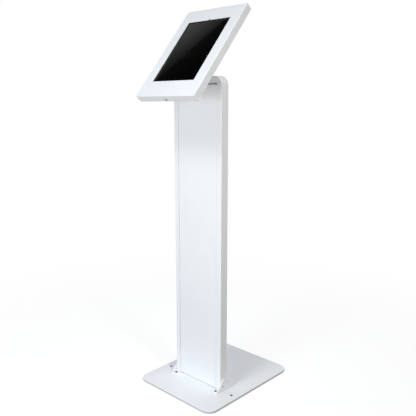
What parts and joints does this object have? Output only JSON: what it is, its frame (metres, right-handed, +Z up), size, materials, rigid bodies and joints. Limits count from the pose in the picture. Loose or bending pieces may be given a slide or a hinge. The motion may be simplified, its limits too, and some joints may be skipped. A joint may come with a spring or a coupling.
{
  "type": "tablet security kiosk stand",
  "caption": "Floor-standing steel kiosk that holds a tablet in a locked, tilting enclosure on a flat hollow column with a lift-off front cover.",
  "frame": {"origin": "centre of the base plate's underside, on the floor", "axes": "+Z up, -Y to the side that the screen faces, +X to the right of a person at the screen's back"},
  "size_m": [0.285, 0.3622, 1.0393],
  "materials": {
    "white_coat": "fine-textured white powder coat on steel sheet",
    "black_steel": "dark phosphated screws",
    "zinc_steel": "bright zinc plate",
    "friction_fibre": "pressed fibre",
    "black_rubber": "matt moulded rubber",
    "grey_foam": "closed-cell foam",
    "black_plastic": "moulded plastic",
    "tablet_metal": "bead-blasted anodised aluminium",
    "screen_glass": "black cover glass over a dark screen",
    "lock_chrome": "polished nickel"
  },
  "bodies": {
    "stand": {"base_plate": "white_coat", "column_shoe": "white_coat", "shoe_screws": "black_steel", "side_screws": "zinc_steel", "side_nuts": "zinc_steel", "column_back": "white_coat", "column_wrap": "white_coat", "column_frame": "white_coat", "cover_studs": "zinc_steel", "cable_grommets": "black_rubber", "neck_bracket": "white_coat", "neck_bolts": "black_steel", "neck_nuts": "zinc_steel", "pivot_bolt": "zinc_steel", "pivot_washers": "zinc_steel", "pivot_nut": "zinc_steel", "friction_discs": "friction_fibre"},
    "panel": {"column_cover": "white_coat", "cover_rails": "white_coat"},
    "head": {"tilt_bracket": "white_coat", "fixing_screws": "black_steel", "fixing_nuts": "zinc_steel", "rear_tray": "white_coat", "tray_grommet": "black_rubber", "hinge_pins": "zinc_steel", "corner_blocks": "black_plastic", "back_pads": "grey_foam", "tablet_shell": "tablet_metal", "tablet_glass": "screen_glass"},
    "lid": {"front_cover": "white_coat", "front_gasket": "grey_foam", "lock_barrel": "lock_chrome", "lock_nut": "zinc_steel"},
    "key_plug": {"lock_plug": "lock_chrome"},
    "power_key": {"power_button": "tablet_metal"},
    "volume_up_key": {"volume_up_button": "tablet_metal"},
    "volume_down_key": {"volume_down_button": "tablet_metal"}
  },
  "joints": [
    {"name": "head_tilt", "type": "hinge", "parent": "stand", "child": "head", "pos_m": [0, -0.05875, 0.8964], "axis": [1, 0, 0], "range_deg": [-20, 35]},
    {"name": "cover_open", "type": "hinge", "parent": "head", "child": "lid", "pos_m": [0, 0.01919, 1.02289], "axis": [-1, 0, 0], "range_deg": [0, 95]},
    {"name": "lock_turn", "type": "hinge", "parent": "lid", "child": "key_plug", "pos_m": [0, -0.17892, 0.80142], "axis": [0, 0.6428, 0.766], "range_deg": [0, 90]},
    {"name": "panel_lift", "type": "slide", "parent": "stand", "child": "panel", "axis": [0, 0, 1], "range_m": [0, 0.0045]},
    {"name": "power_press", "type": "slide", "parent": "head", "child": "power_key", "axis": [0, -0.6428, -0.766], "range_m": [0, 0.0004], "stiffness_N_per_m": 1500, "springref_m": -0.0006},
    {"name": "volume_up_press", "type": "slide", "parent": "head", "child": "volume_up_key", "axis": [-1, 0, 0], "range_m": [0, 0.0004], "stiffness_N_per_m": 1500, "springref_m": -0.0006},
    {"name": "volume_down_press", "type": "slide", "parent": "head", "child": "volume_down_key", "axis": [-1, 0, 0], "range_m": [0, 0.0004], "stiffness_N_per_m": 1500, "springref_m": -0.0006}
  ]
}
